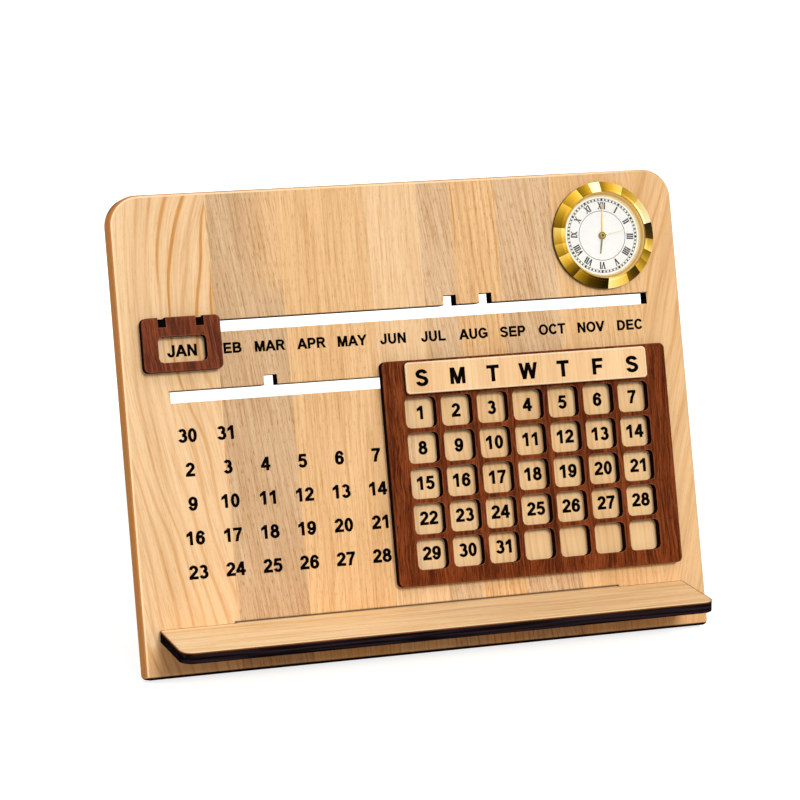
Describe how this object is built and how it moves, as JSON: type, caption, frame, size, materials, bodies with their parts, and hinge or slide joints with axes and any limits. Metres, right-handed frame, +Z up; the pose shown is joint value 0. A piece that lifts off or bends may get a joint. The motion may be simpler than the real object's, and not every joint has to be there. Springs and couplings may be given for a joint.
{
  "type": "desk clock with calendar",
  "caption": "Leaning wooden desk board with a round quartz clock, a month slider, a day-grid slider of a perpetual calendar and a narrow front shelf.",
  "frame": {"origin": "on the table, at the middle of the footprint of the whole object", "axes": "+Z up, front (clock face, calendar and shelf) towards -Y, +X to the right seen from the front"},
  "size_m": [0.2726, 0.1036, 0.2101],
  "materials": {
    "panel_board": "laminated hardwood board, satin oil, burnt sawn edges in the slots",
    "shelf": "light wood, satin",
    "leg_left": "light wood, satin",
    "leg_right": "light wood, satin",
    "month_slider_plate": "red-brown walnut, satin",
    "calendar_grid_plate": "red-brown walnut, satin",
    "weekday_strip": "light wood, satin",
    "month_hook_left": "blackened",
    "month_hook_right": "blackened",
    "grid_hook_left": "blackened",
    "grid_hook_right": "blackened",
    "clock_bezel": "polished, gilt",
    "clock_crystal": "clear",
    "clock_inner_ring": "satin, gilt",
    "clock_dial": "white enamel, printed",
    "clock_case": "black",
    "clock_grip_ring": "translucent white",
    "movement_plate": "white moulding",
    "movement_housing": "black moulding",
    "battery_cover": "satin",
    "button_cell": "bright",
    "cell_contact": "gold plated",
    "cannon_pinion": "satin",
    "minute_wheel": "satin",
    "hour_wheel": "satin",
    "second_arbor": "bright",
    "setting_knob": "black, ribbed",
    "hour_hand": "polished, gilt",
    "minute_hand": "polished, gilt",
    "second_hand": "polished, gilt"
  },
  "bodies": {
    "stand": {"panel_board": "panel_board", "shelf": "shelf", "leg_left": "leg_left", "leg_right": "leg_right"},
    "month_slider": {"month_slider_plate": "month_slider_plate", "month_hook_left": "month_hook_left", "month_hook_right": "month_hook_right"},
    "grid_slider": {"calendar_grid_plate": "calendar_grid_plate", "weekday_strip": "weekday_strip", "grid_hook_left": "grid_hook_left", "grid_hook_right": "grid_hook_right"},
    "clock_insert": {"clock_bezel": "clock_bezel", "clock_crystal": "clock_crystal", "clock_inner_ring": "clock_inner_ring", "clock_dial": "clock_dial", "clock_case": "clock_case", "clock_grip_ring": "clock_grip_ring", "movement_plate": "movement_plate", "movement_housing": "movement_housing", "button_cell": "button_cell", "cell_contact": "cell_contact"},
    "cover": {"battery_cover": "battery_cover"},
    "minute_group": {"cannon_pinion": "cannon_pinion", "minute_hand": "minute_hand"},
    "minute_work": {"minute_wheel": "minute_wheel", "setting_knob": "setting_knob"},
    "hour_group": {"hour_wheel": "hour_wheel", "hour_hand": "hour_hand"},
    "second_group": {"second_arbor": "second_arbor", "second_hand": "second_hand"}
  },
  "joints": [
    {"name": "month_slide", "type": "slide", "parent": "stand", "child": "month_slider", "axis": [1, 0, 0], "range_m": [0, 0.21659]},
    {"name": "grid_slide", "type": "slide", "parent": "stand", "child": "grid_slider", "axis": [-1, 0, 0], "range_m": [0, 0.11]},
    {"name": "clock_pull", "type": "slide", "parent": "stand", "child": "clock_insert", "axis": [0, -0.9659, 0.2588], "range_m": [0, 0.03]},
    {"name": "battery_cover_turn", "type": "hinge", "parent": "clock_insert", "child": "cover", "pos_m": [0.09205, 0.03159, 0.19042], "axis": [0, 0.9659, -0.2588], "range_deg": [0, 60]},
    {"name": "minute_spin", "type": "hinge", "parent": "clock_insert", "child": "minute_group", "pos_m": [0.09985, 0.02911, 0.18114], "axis": [0, 0.9659, -0.2588], "continuous": true},
    {"name": "minute_wheel_spin", "type": "hinge", "parent": "clock_insert", "child": "minute_work", "pos_m": [0.09407, 0.02869, 0.17957], "axis": [0, 0.9659, -0.2588], "continuous": true},
    {"name": "hour_spin", "type": "hinge", "parent": "clock_insert", "child": "hour_group", "pos_m": [0.09985, 0.02911, 0.18114], "axis": [0, 0.9659, -0.2588], "continuous": true},
    {"name": "second_spin", "type": "hinge", "parent": "clock_insert", "child": "second_group", "pos_m": [0.09985, 0.02911, 0.18114], "axis": [0, 0.9659, -0.2588], "continuous": true}
  ],
  "couplings": [
    {"joint": "minute_wheel_spin", "follows": "minute_spin", "ratio": -0.33333},
    {"joint": "hour_spin", "follows": "minute_spin", "ratio": 0.083333}
  ]
}
